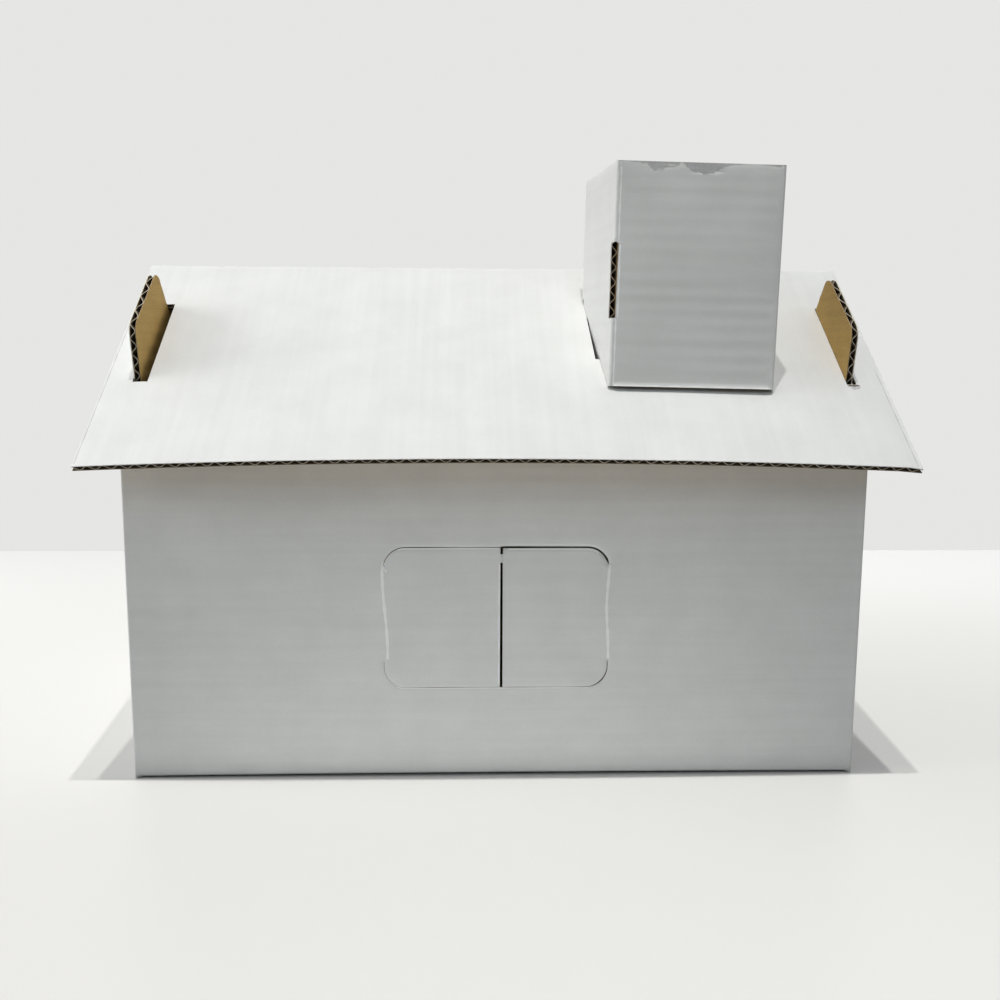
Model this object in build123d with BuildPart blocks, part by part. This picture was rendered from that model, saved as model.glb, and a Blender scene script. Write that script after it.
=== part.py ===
from build123d import *
from math import cos, radians, sin, sqrt, tan
import os

# A play house pushed together from three folded sheets of corrugated board:
# the walls with their floor, a saddle roof and a chimney, held by tabs in slots.
# X runs along the ridge, -Y is the front, Z is up, and the origin is the middle of the floor's underside.
# Lengths are in millimetres and angles in degrees.

# Corrugated board
board = 3.0             # thickness over both liners
liner = 0.35            # smooth outer sheets
medium = 0.35           # waved sheet between the liners, at its crests
flute_pitch = 6.0       # from one wave to the next
crest_outside = 0.8     # width of a crest where it is glued to a liner
crest_inside = 0.3      # width of the same crest seen from inside its cell
seat_gap = 0.2          # between sheets that rest on each other

# Walls and floor
wall_width = 300.0
wall_depth = 184.4
wall_height = 143.2
corner_radius = 2.5     # folds between the walls
floor_radius = 3.0      # fold between the front wall and the floor
floor_gap = 0.6         # round the floor's three cut edges

# Shutters, die-cut in the front wall
window_width = 92.0
window_height = 60.3
window_sill = 37.3      # height of the lower cut above the ground
window_offset = -0.6    # middle of the window from the middle of the wall
window_radius = 9.0
shutter_slit = 0.9      # width of the cuts
slit_offset = 1.7       # middle slit from the middle of the window
nick_height = 3.5       # uncut bridge across the middle slit
nick_drop = 3.4         # from the window's top to the bridge
hinge_low = 12.7        # start of the side creases above the lower cut
hinge_high = 7.6        # end of the side creases below the upper cut
crease_width = 1.2
crease_depth = 0.4

# Roof
roof_pitch = 36.6
roof_length = 325.2
roof_overhang = 20.2    # level distance from the wall to the eave
eave_bow = 4.5          # rise of the eave's middle above its ends, square to the slope
ridge_radius = 3.0
ridge_land = 6.0        # flutes crushed beside the ridge fold, on each slope

# Tabs on the gables, measured up the slope from the eave and square to it
tab_start = 53.0
tab_end = 105.5
tab_height = 20.0
tab_draft_low = 24.0
tab_draft_high = 7.0
tab_radius = 6.5
slot_play = 2.6         # slot width over board thickness
slot_rest = 0.1         # left between one tab and its slot where the roof has slid sideways
slot_end_gap = 1.0

# Chimney
chimney_width = 68.5
chimney_depth = 55.5
chimney_height = 91.1   # in front, above the roof
chimney_x = 79.6        # middle of its front panel
chimney_inset = 12.7    # front panel behind the front wall's face
chimney_skew = 6.2      # the sleeve is pushed out of square, in plan
chimney_lean = 1.0      # to the right, on the bowed roof
chimney_radius = 3.2
chimney_tab_start = 20.0
chimney_tab_end = 39.0
chimney_tab_reach = 8.0  # below the underside of the roof
chimney_slot_wide = 1.8  # play on the left of each chimney tab
chimney_slot_tight = 0.2  # play on its right
chimney_slot_end = 0.6
notch_low = 29.1        # open slot in the front left fold, above the roof
notch_height = 30.4
notch_width = 2.2
notch_depth = 3.4

# Worked out from the sizes above
rise_cos = cos(radians(roof_pitch))
rise_sin = sin(radians(roof_pitch))
rise_tan = tan(radians(roof_pitch))
half_width = wall_width / 2
half_depth = wall_depth / 2
gable_top = wall_height + half_depth * rise_tan
ridge_z = gable_top + seat_gap + board / rise_cos
eave_y = half_depth + roof_overhang
eave_z = ridge_z - eave_y * rise_tan
slope_length = eave_y / rise_cos
bow_radius = ((roof_length / 2) ** 2 + eave_bow**2) / (2 * eave_bow)
roof_shift = slot_play / 2 - slot_rest
slot_inner = half_width - board - slot_play / 2
cut_through = board + flute_pitch
skew_tan = tan(radians(chimney_skew))
skew_board = board / cos(radians(chimney_skew))


def flute_cell(middle, wide_level, narrow_level):
    """Corners of one hollow cell of the board, as (along, depth), wide at one liner."""
    wide = (flute_pitch - crest_outside) / 2
    narrow = crest_inside / 2
    return [
        (middle - wide, wide_level),
        (middle + wide, wide_level),
        (middle + narrow, narrow_level),
        (middle - narrow, narrow_level),
    ]


def flute_cells(start, length):
    """Cells that fit in a length of board. Depth is 0 on the outer face and -board on the inner face."""
    cell_width = flute_pitch - crest_outside
    count = int((length - cell_width) / (flute_pitch / 2)) + 1
    first = start + (length - (count - 1) * flute_pitch / 2) / 2
    cells = []
    for index in range(count):
        middle = first + index * flute_pitch / 2
        if index % 2 == 0:
            cells.append(flute_cell(middle, -liner, -board + liner + medium))
        else:
            cells.append(flute_cell(middle, -board + liner, -liner - medium))
    return cells


def section_plane(down):
    """Plane across the front slope at a distance down from the ridge: x along it, y square to it."""
    return Plane(
        origin=(roof_shift, -down * rise_cos, ridge_z - down * rise_sin),
        x_dir=(1, 0, 0),
        z_dir=(0, -rise_cos, -rise_sin),
    )


def bow_share(down):
    """The slope is flat beside the ridge and reaches its full bow at the eave."""
    return (down - ridge_land) / (slope_length - ridge_land)


def lift(along, down):
    """Height of the bowed slope above its flat plane."""
    return bow_share(down) * (sqrt(bow_radius**2 - along**2) - bow_radius + eave_bow)


def roof_top(x, y):
    """Height of the roof's upper face over a point in front of the ridge."""
    return ridge_z + y * rise_tan + lift(x - roof_shift, -y / rise_cos) / rise_cos


def slope_section(down, top, bottom):
    """Section of a layer of the front slope, between two levels measured from its upper face."""
    half = roof_length / 2
    middle = lift(0, down)
    with BuildSketch(section_plane(down)) as section:
        with BuildLine():
            if middle > 0:
                ThreePointArc((-half, top), (0, top + middle), (half, top))
                Line((half, top), (half, bottom))
                ThreePointArc((half, bottom), (0, bottom + middle), (-half, bottom))
                Line((-half, bottom), (-half, top))
            else:
                Polyline((-half, top), (half, top), (half, bottom), (-half, bottom), close=True)
        make_face()
    return section.sketch


def slope_layer(top, bottom):
    """Sections of a layer of the front slope beside the ridge and at the eave, to loft between."""
    return [slope_section(ridge_land, top, bottom), slope_section(slope_length, top, bottom)]


def tab_plane(x):
    """Plane of a gable tab: x up the front slope from the eave, y square to the slope."""
    return Plane(origin=(x, -eave_y, eave_z), x_dir=(0, rise_cos, rise_sin), z_dir=(1, 0, 0))


# Walls: four walls folded round a floor, with a pair of shutters cut in the front
with BuildPart() as house_walls:
    with BuildSketch():
        RectangleRounded(wall_width, wall_depth, corner_radius)
        Rectangle(wall_width - 2 * board, wall_depth - 2 * board, mode=Mode.SUBTRACT)
    extrude(amount=wall_height)

    # Floor, folded back from the front wall
    floor_back = half_depth - board - floor_gap
    with BuildSketch():
        with Locations((0, (floor_back - half_depth + board / 2) / 2)):
            Rectangle(wall_width - 2 * board - 2 * floor_gap, floor_back + half_depth - board / 2)
    extrude(amount=board)

    # Outer face of the fold between the front wall and the floor
    with BuildSketch(Plane.YZ.offset(-half_width)):
        with BuildLine():
            Line((-half_depth, 0), (-half_depth + floor_radius, 0))
            RadiusArc((-half_depth + floor_radius, 0), (-half_depth, floor_radius), floor_radius)
            Line((-half_depth, floor_radius), (-half_depth, 0))
        make_face()
    extrude(amount=wall_width, mode=Mode.SUBTRACT)

    # Gables and the tabs that pass through the roof
    for gable_x in (-half_width, half_width - board):
        with BuildSketch(Plane.YZ.offset(gable_x)):
            Polygon((-half_depth, wall_height), (half_depth, wall_height), (0, gable_top), align=None)
        extrude(amount=board)
        tab_root = -2 * board
        root_low = tab_start + tab_root * tan(radians(tab_draft_low))
        root_high = tab_end - tab_root * tan(radians(tab_draft_high))
        top_low = tab_start + tab_height * tan(radians(tab_draft_low))
        top_high = tab_end - tab_height * tan(radians(tab_draft_high))
        with BuildSketch(tab_plane(gable_x)) as tab:
            Polygon(
                (root_low, tab_root),
                (root_high, tab_root),
                (top_high, tab_height),
                (top_low, tab_height),
                align=None,
            )
            fillet(tab.vertices().group_by(Axis.Y)[-1], tab_radius)
        front_tab = extrude(amount=board)
        mirror(front_tab, about=Plane.XZ)

    # Flutes that the gables' sloping edges and tabs cut open
    flute_base = wall_height + board
    with BuildSketch(Plane.XZ):
        for cell in flute_cells(flute_base, gable_top - board - flute_base):
            for side in (-1, 1):
                Polygon(*[(side * (half_width + depth), z) for z, depth in cell], align=None)
    extrude(amount=half_depth, both=True, mode=Mode.SUBTRACT)

    # Cuts round the shutters, left whole along the side creases and at the bridge
    window_middle = window_sill + window_height / 2
    hinge_height = window_height - hinge_low - hinge_high
    hinge_middle = window_sill + hinge_low + hinge_height / 2
    slit_x = window_offset + slit_offset
    nick_middle = window_sill + window_height - nick_drop - nick_height / 2
    with BuildSketch(Plane.XZ.offset(half_depth)):
        with Locations((window_offset, window_middle)):
            RectangleRounded(window_width + shutter_slit, window_height + shutter_slit, window_radius)
            RectangleRounded(
                window_width - shutter_slit,
                window_height - shutter_slit,
                window_radius - shutter_slit,
                mode=Mode.SUBTRACT,
            )
        with Locations((window_offset, hinge_middle)):
            Rectangle(window_width + 2 * shutter_slit, hinge_height, mode=Mode.SUBTRACT)
        with Locations((slit_x, window_middle)):
            Rectangle(shutter_slit, window_height)
        with Locations((slit_x, nick_middle)):
            Rectangle(2 * shutter_slit, nick_height, mode=Mode.SUBTRACT)
    extrude(amount=-board, mode=Mode.SUBTRACT)
    with BuildSketch(Plane.XZ.offset(half_depth)):
        with Locations((window_offset, hinge_middle)):
            with GridLocations(window_width, 0, 2, 1):
                Rectangle(crease_width, hinge_height)
    extrude(amount=-crease_depth, mode=Mode.SUBTRACT)

# Front slope of the roof, with its flutes running down to the eave and slots for the gables' tabs
flute_ends = (ridge_land + board, slope_length + board)
roof_cells = []
for cell in flute_cells(board - roof_length / 2, roof_length - 2 * board):
    cell_ends = []
    for down in flute_ends:
        with BuildSketch(section_plane(down)) as cell_end:
            Polygon(*[(along, depth + lift(along, down)) for along, depth in cell], align=None)
        cell_ends.append(cell_end.sketch)
    roof_cells.append(loft(cell_ends, ruled=True))

slot_low = tab_start - board * tan(radians(tab_draft_low)) - slot_end_gap
slot_high = tab_end + board * tan(radians(tab_draft_high)) + slot_end_gap
with BuildPart() as front_slope:
    loft(slope_layer(0, -board), ruled=True)
    slots = []
    for slot_x in (roof_shift + slot_inner, roof_shift - slot_inner - board - slot_play):
        with BuildSketch(tab_plane(slot_x)) as slot:
            with Locations(((slot_low + slot_high) / 2, 0)):
                Rectangle(slot_high - slot_low, 2 * cut_through)
        slots.append(extrude(slot.sketch, amount=board + slot_play, mode=Mode.PRIVATE))
    add(roof_cells + slots, mode=Mode.SUBTRACT)

# Plane of the chimney, on the roof under the middle of its front panel
chimney_y = -half_depth + chimney_inset
chimney_plane = Plane(
    origin=(chimney_x, chimney_y, roof_top(chimney_x, chimney_y)),
    x_dir=(cos(radians(chimney_lean)), 0, -sin(radians(chimney_lean))),
    z_dir=(sin(radians(chimney_lean)), 0, cos(radians(chimney_lean))),
)


def skewed(left, right, front, back):
    """Plan of a block of the chimney, whose sides slant with its skew."""
    return [
        (left - front * skew_tan, front),
        (right - front * skew_tan, front),
        (right - back * skew_tan, back),
        (left - back * skew_tan, back),
    ]


# Roof: two slopes folded at the ridge, slotted for the gables' and the chimney's tabs
with BuildPart() as roof:
    inner_z = ridge_z - board / rise_cos
    land_y = ridge_land * rise_cos
    land_z = ridge_z - ridge_land * rise_sin
    under_y = land_y - board * rise_sin
    under_z = land_z - board * rise_cos
    with BuildSketch(Plane.YZ.offset(roof_shift - roof_length / 2)) as ridge:
        Polygon(
            (-land_y, land_z),
            (0, ridge_z),
            (land_y, land_z),
            (under_y, under_z),
            (0, inner_z),
            (-under_y, under_z),
            align=None,
        )
        fillet(ridge.vertices().sort_by(Axis.Y)[-1], ridge_radius)
    extrude(amount=roof_length)
    back_slope = mirror(front_slope.part, about=Plane.XZ, mode=Mode.PRIVATE)
    add([front_slope.part, back_slope])

    tab_front = chimney_tab_start - chimney_slot_end
    tab_back = chimney_tab_end + chimney_slot_end
    with BuildSketch(chimney_plane):
        for outer in (-chimney_width / 2, chimney_width / 2 - skew_board):
            edges = (outer - chimney_slot_wide, outer + skew_board + chimney_slot_tight)
            Polygon(*skewed(*edges, tab_front, tab_back), align=None)
    extrude(amount=chimney_depth, both=True, mode=Mode.SUBTRACT)

# Room that the roof takes up under the chimney, open where the chimney's tabs pass through
tab_floor = -board - chimney_tab_reach
with BuildPart() as roof_room:
    loft(slope_layer(seat_gap, tab_floor), ruled=True)
    with BuildSketch(chimney_plane):
        Polygon(*skewed(-chimney_width, chimney_width, chimney_tab_start, chimney_tab_end), align=None)
    extrude(amount=chimney_height, both=True, mode=Mode.SUBTRACT)
    loft(slope_layer(tab_floor, tab_floor - chimney_depth), ruled=True)

# Chimney: a folded sleeve, pushed out of square, standing on the slope
with BuildPart() as chimney:
    drop = 2 * board + chimney_tab_reach
    with BuildSketch(chimney_plane.offset(-drop)) as plan:
        Polygon(*skewed(-chimney_width / 2, chimney_width / 2, 0, chimney_depth), align=None)
        fillet(plan.vertices(), chimney_radius)
        inner = chimney_width / 2 - skew_board
        Polygon(*skewed(-inner, inner, board, chimney_depth - board), align=None, mode=Mode.SUBTRACT)
    extrude(amount=drop + chimney_height)
    add(roof_room.part, mode=Mode.SUBTRACT)

    # Square lower edges of the front and back panels, which touch the slope along one edge only
    for panel_y, touch_y in ((0, board), (chimney_depth - board, chimney_depth)):
        touch_z = roof_top(chimney_x, chimney_y + touch_y) - chimney_plane.origin.Z + seat_gap
        with BuildSketch(chimney_plane.offset(touch_z)):
            with Locations((-touch_y * skew_tan, panel_y + board / 2)):
                Rectangle(2 * chimney_width, board)
        extrude(amount=-2 * chimney_depth, mode=Mode.SUBTRACT)

    # Open slot in the front left fold, and the flutes that it shows
    with BuildSketch(chimney_plane.offset(notch_low)):
        with Locations((-chimney_width / 2, 0)):
            Rectangle(2 * notch_width, 2 * notch_depth)
    extrude(amount=notch_height, mode=Mode.SUBTRACT)
    panel_plane = Plane(
        origin=chimney_plane.from_local_coords((-chimney_width / 2, 0, notch_low + notch_height)),
        x_dir=-chimney_plane.z_dir,
        z_dir=chimney_plane.y_dir - chimney_plane.x_dir * skew_tan,
    )
    with BuildSketch(panel_plane):
        for cell in flute_cells(0, notch_height):
            Polygon(*cell, align=None)
    extrude(amount=chimney_depth - 2 * board, mode=Mode.SUBTRACT)

os.makedirs("parts", exist_ok=True)
house_walls.part.label = "house_walls"
roof.part.label = "roof"
chimney.part.label = "chimney"
export_step(house_walls.part, "parts/house_walls.step")
export_step(roof.part, "parts/roof.step")
export_step(chimney.part, "parts/chimney.step")
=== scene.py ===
import math

import bmesh
import bpy
import numpy as np
from mathutils import Matrix, Vector
from mathutils.geometry import delaunay_2d_cdt


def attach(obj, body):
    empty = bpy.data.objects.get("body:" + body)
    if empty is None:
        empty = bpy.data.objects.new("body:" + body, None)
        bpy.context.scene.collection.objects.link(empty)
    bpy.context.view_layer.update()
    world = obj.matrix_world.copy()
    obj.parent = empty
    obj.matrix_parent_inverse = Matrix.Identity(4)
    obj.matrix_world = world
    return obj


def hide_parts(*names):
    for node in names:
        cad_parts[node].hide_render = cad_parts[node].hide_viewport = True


# The looks of a play house pushed together from three folded sheets of corrugated board.
# Each sheet is laid out flat, cut, and folded up: two liners with a waved sheet between them.
# Lengths below are in millimetres, in the frame of the CAD model.

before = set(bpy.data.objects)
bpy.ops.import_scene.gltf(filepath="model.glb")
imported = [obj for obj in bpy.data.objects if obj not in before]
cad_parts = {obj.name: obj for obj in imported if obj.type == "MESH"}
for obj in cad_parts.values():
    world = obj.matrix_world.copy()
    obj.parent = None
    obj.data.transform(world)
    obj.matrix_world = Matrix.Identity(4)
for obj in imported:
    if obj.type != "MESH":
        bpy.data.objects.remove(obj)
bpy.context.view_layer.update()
rng = np.random.default_rng(36)

# Corrugated board
BOARD = 3.0
LINER = 0.35
MEDIUM = 0.3
FLUTE = 6.0
WAVE_STEPS = 14
SEAT = 0.2
FOLD_INNER = 0.3        # inner radius left in a crushed fold

# Meshes of the board
GRID_GAP = 0.55         # a grid point keeps this far from outlines
RING_GAP = 0.25         # and a point of the rings round a cut this far
PATCH_STEP = 0.8
SNAP = 1e-6
SHORTEST_FLUTE = 0.6
FLUTE_JUMP = 1.5        # a strip of flutes ends where its outline jumps this far
SHARP_EDGE = math.radians(38)
CHUNK = 2000            # points compared at a time

# Walls
WALL_X = 150.0
WALL_Y = 92.2
WALL_Z = 143.2
WALL_RADIUS = 0.8
WALL_SOFTEN = 2.5       # board is crushed this far beside a fold
FLOOR_RADIUS = 0.7
FLOOR_GAP = 0.6
FLOOR_RAISE = 1.3       # the front wall's lower fold stands this far off the table in its middle
FLOOR_SAG = 0.55        # and is this much lower at its ends
FOOT = 12.0             # height of the part of the wall that follows the lower fold

# Shutters
WINDOW_X = -0.6
WINDOW_Z = 67.6
WINDOW_HALF_X = 46.0
WINDOW_HALF_Z = 29.4
WINDOW_RADIUS = 9.0
SLIT_X = 1.5
SLIT_HALF = 0.55
NICK = (90.7, 94.2)
HINGE = (50.0, 90.0)
SLIT_WANDER = 0.12
CREASE_HALF = 0.6
CREASE_LINES = (-46.6, -45.6, 45.6, 44.4)
CREASE_RISE = 0.22
SLIT_RISE = 0.18
SHUTTER_PUSH = 0.3      # how far the right shutter is pressed in at the slit

# Roof
PITCH = math.radians(36.6)
COS, SIN, TAN = math.cos(PITCH), math.sin(PITCH), math.tan(PITCH)
GABLE_TOP = WALL_Z + WALL_Y * TAN
RIDGE_Z = GABLE_TOP + SEAT + BOARD / COS
EAVE_Y = WALL_Y + 20.2
EAVE_Z = RIDGE_Z - EAVE_Y * TAN
SLOPE = EAVE_Y / COS
ROOF_HALF = 162.6
ROOF_SHIFT = 1.2
RIDGE_RADIUS = 3.0
RIDGE_SOFTEN = 4.0
RIDGE_LAND = 6.0
EAVE_CRUSH = 0.5        # board lost to the cutting of the eave
EDGE_DROP = 0.6         # how far the front slope's right edge is bent down
EAVE_BOW = 4.5
BOW_RADIUS = (ROOF_HALF**2 + EAVE_BOW**2) / (2 * EAVE_BOW)

# Gable tabs, up the slope from the eave and square to it
TAB = (53.0, 105.5)
TAB_HEIGHT = 20.0
TAB_DRAFT = (math.tan(math.radians(24)), math.tan(math.radians(7)))
TAB_RADIUS = 6.5
SLOT_INNER = {-1: 145.1, 1: 145.7}
SLOT_OUTER = {-1: 151.3, 1: 150.0}

# Chimney
CHIMNEY_HALF = 34.25
CHIMNEY_DEPTH = 55.5
CHIMNEY_HEIGHT = 91.09
CHIMNEY_X = 79.6
CHIMNEY_Y = -WALL_Y + 12.7
CHIMNEY_LEAN = math.radians(1.0)
CHIMNEY_SKEW = math.tan(math.radians(6.2))
CHIMNEY_RADIUS = 1.1
CHIMNEY_SOFTEN = 1.6
CHIMNEY_TAB = (20.0, 39.0)
CHIMNEY_TAB_DROP = BOARD + 8.0
CHIMNEY_SLOT_END = 45.0
CHIMNEY_GAP_INNER = 0.3
CHIMNEY_GAP_OUTER = 1.75
CHIMNEY_BULGE = 1.2     # how far the front panel bows out between its edges
NOTCH_Z = (29.1, 59.5)
NOTCH_LEFT = 5.4
NOTCH_RIGHT = 2.0
CHIMNEY_FOOT = -14.0    # below the tabs
GROOVE_X = 1.1          # pressed line beside the front left fold
GROOVE_HALF = 0.35
GROOVE_DEPTH = 0.4
FLARE = 0.8             # how far the front panel's lower edge stands out
FLARE_HEIGHT = 0.9
DEEPEST_SKIN = 0.28     # the coated liner sinks no further on to the waves
TORN_DEPTH = 0.12

# Depth of the faint dips between the flutes under a liner, and of its slow waviness
WALL_DIPS, WALL_WAVINESS = 0.026, 0.10
ROOF_DIPS, ROOF_WAVINESS = 0.018, 0.08
CHIMNEY_DIPS, CHIMNEY_WAVINESS = 0.034, 0.10
TAB_DIPS = 0.04


def smooth(x):
    """Soft step from 0 to 1."""
    x = np.clip(x, 0, 1)
    return x * x * (3 - 2 * x)


def bump(x, width):
    """Soft hill of height 1, about as wide as twice its width."""
    return np.exp(-(x / width) ** 2)


def dips(depth, along):
    """Dips between the flutes, at places across them."""
    return -depth * (1 + np.cos(2 * math.pi * along / FLUTE))


def line(x, y):
    """Points from their coordinates, either of which may be one number."""
    return np.column_stack(np.broadcast_arrays(x, y))


def turned(vector, angle):
    """A vector turned to the left, by one angle or by several."""
    c, s = np.cos(angle), np.sin(angle)
    return np.stack([vector[0] * c - vector[1] * s, vector[0] * s + vector[1] * c], axis=-1)


def between(one, other):
    """Closed outline between two lines of points that run the same way."""
    return np.concatenate([one, other[::-1]])


def inner_face(u, v):
    """Upper side of the inner liner."""
    return np.full_like(u, LINER - BOARD)


def upright(x, half, z):
    """Narrow upright strip about a line."""
    return between(line(x + half, z), line(x - half, z))


class Drift:
    """Smooth random field between -1 and 1, from a few waves."""

    def __init__(self, size_u, size_v, waves=7):
        turn = rng.uniform(0, 2 * math.pi, waves)
        scale = rng.uniform(0.6, 1.5, waves)
        self.ku = 2 * math.pi * np.cos(turn) * scale / size_u
        self.kv = 2 * math.pi * np.sin(turn) * scale / size_v
        self.phase = rng.uniform(0, 2 * math.pi, waves)

    def __call__(self, u, v):
        angle = np.multiply.outer(u, self.ku) + np.multiply.outer(v, self.kv) + self.phase
        return np.sin(angle).mean(-1)


class Fold:
    """A line of straight runs, rounded at its left turns, with the board's outer face on its right."""

    def __init__(self, points, radius, soften):
        self.points = np.array(points, float)
        runs = np.diff(self.points, axis=0)
        self.lengths = np.hypot(runs[:, 0], runs[:, 1])
        self.start = np.concatenate(([0.0], np.cumsum(self.lengths)))
        self.along = runs / self.lengths[:, None]
        self.out = np.stack([self.along[:, 1], -self.along[:, 0]], axis=1)
        self.radius = radius
        self.soften = soften
        self.squeeze = (radius - FOLD_INNER) / BOARD

    def turn(self, corner):
        a, b = self.along[corner - 1], self.along[corner]
        return math.atan2(a[0] * b[1] - a[1] * b[0], a @ b)

    def reach(self, corner):
        return self.radius * math.tan(self.turn(corner) / 2)

    def place(self, u, depth):
        """Points at a distance along the line, below its outer face."""
        run = np.clip(np.searchsorted(self.start, u, side="right") - 1, 0, len(self.lengths) - 1)
        base = self.points[run] + self.along[run] * (u - self.start[run])[:, None]
        out = self.out[run].copy()
        squeeze = np.ones_like(u)
        for corner in range(1, len(self.points) - 1):
            reach = self.reach(corner)
            offset = u - self.start[corner]
            beside = np.abs(offset) - reach
            squeeze = np.minimum(squeeze, 1 - (1 - self.squeeze) * smooth(1 - beside / self.soften))
            bent = beside < 0
            angle = self.turn(corner) * (offset[bent] / reach + 1) / 2
            first = self.out[corner - 1]
            centre = self.points[corner] - self.along[corner - 1] * reach - first * self.radius
            out[bent] = turned(first, angle)
            base[bent] = centre + out[bent] * self.radius
        return base + out * (depth * squeeze)[:, None]

    def lines(self, step):
        """Grid lines along the line: evenly over each run, and close together at the folds."""
        found = []
        for run, length in enumerate(self.lengths):
            low = self.start[run]
            high = low + length
            if run > 0:
                low += self.reach(run) + self.soften + 1
            if run < len(self.lengths) - 1:
                high -= self.reach(run + 1) + self.soften + 1
            found.extend(np.linspace(low, high, max(2, round((high - low) / step) + 1)))
        for corner in range(1, len(self.points) - 1):
            reach = self.reach(corner)
            bend = np.linspace(-reach, reach, 9)
            beside = reach + self.soften * np.array([0.2, 0.45, 0.75, 1.05])
            found.extend(self.start[corner] + np.concatenate([bend, beside, -beside]))
        return np.unique(np.round(found, 4))


def rounded(points, radii, steps=7):
    """Closed outline with some of its corners rounded."""
    points = [np.array(p, float) for p in points]
    found = []
    for i, corner in enumerate(points):
        radius = radii[i]
        if radius == 0:
            found.append(corner)
            continue
        a = points[i - 1] - corner
        b = points[(i + 1) % len(points)] - corner
        a /= np.linalg.norm(a)
        b /= np.linalg.norm(b)
        half = math.acos(np.clip(a @ b, -1, 1)) / 2
        reach = radius / math.tan(half)
        middle = (a + b) / np.linalg.norm(a + b)
        centre = corner + middle * radius / math.sin(half)
        first = corner + a * reach - centre
        last = corner + b * reach - centre
        sweep = math.atan2(first[0] * last[1] - first[1] * last[0], first @ last)
        found.extend(centre + turned(first, np.linspace(0, sweep, steps)))
    return np.array(found)


def on_grid(loop, grid_u, grid_v):
    """Closed outline with points where it crosses the grid's lines."""
    steps = [np.median(np.diff(grid_u)), np.median(np.diff(grid_v))]
    found = []
    for a, b in zip(loop, np.roll(loop, -1, axis=0)):
        run = b - a
        length = np.hypot(*run)
        axis = int(abs(run[1]) / steps[1] > abs(run[0]) / steps[0])
        share = np.zeros(0)
        if abs(run[axis]) > 0:
            share = np.sort(((grid_u, grid_v)[axis] - a[axis]) / run[axis])
        share = share[(share * length > 0.3) & ((1 - share) * length > 0.3)]
        found.extend(a + run * t for t in np.concatenate([[0], share]))
    return np.array(found)


def resampled(loop, step):
    """Closed outline with points no further apart than a step, along either axis."""
    found = []
    for a, b in zip(loop, np.roll(loop, -1, axis=0)):
        count = max(1, math.ceil(np.abs(b - a).max() / step - SNAP))
        found.extend(a + (b - a) * i / count for i in range(count))
    return np.array(found)


def inside(points, loop):
    """Which points lie inside a closed outline."""
    x, y = points[:, 0], points[:, 1]
    found = np.zeros(len(points), bool)
    for a, b in zip(loop, np.roll(loop, -1, axis=0)):
        if a[1] != b[1]:
            crosses = (a[1] > y) != (b[1] > y)
            found ^= crosses & (x < (b[0] - a[0]) * (y - a[1]) / (b[1] - a[1]) + a[0])
    return found


def nearest(points, others):
    """Distance from each point to the nearest of the others."""
    found = np.empty(len(points))
    for start in range(0, len(points), CHUNK):
        part = slice(start, start + CHUNK)
        apart = points[part, None, :] - others[None, :, :]
        found[part] = np.hypot(apart[..., 0], apart[..., 1]).min(1)
    return found


def spaced(points, others, gap):
    """The points that keep a gap from all the others."""
    return points[nearest(points, others) > gap]


def thinned(points, cell):
    """The first point in each cell of a square grid."""
    kept = {}
    for point in points:
        kept.setdefault((round(point[0] / cell), round(point[1] / cell)), point)
    return np.array(list(kept.values()))


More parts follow.
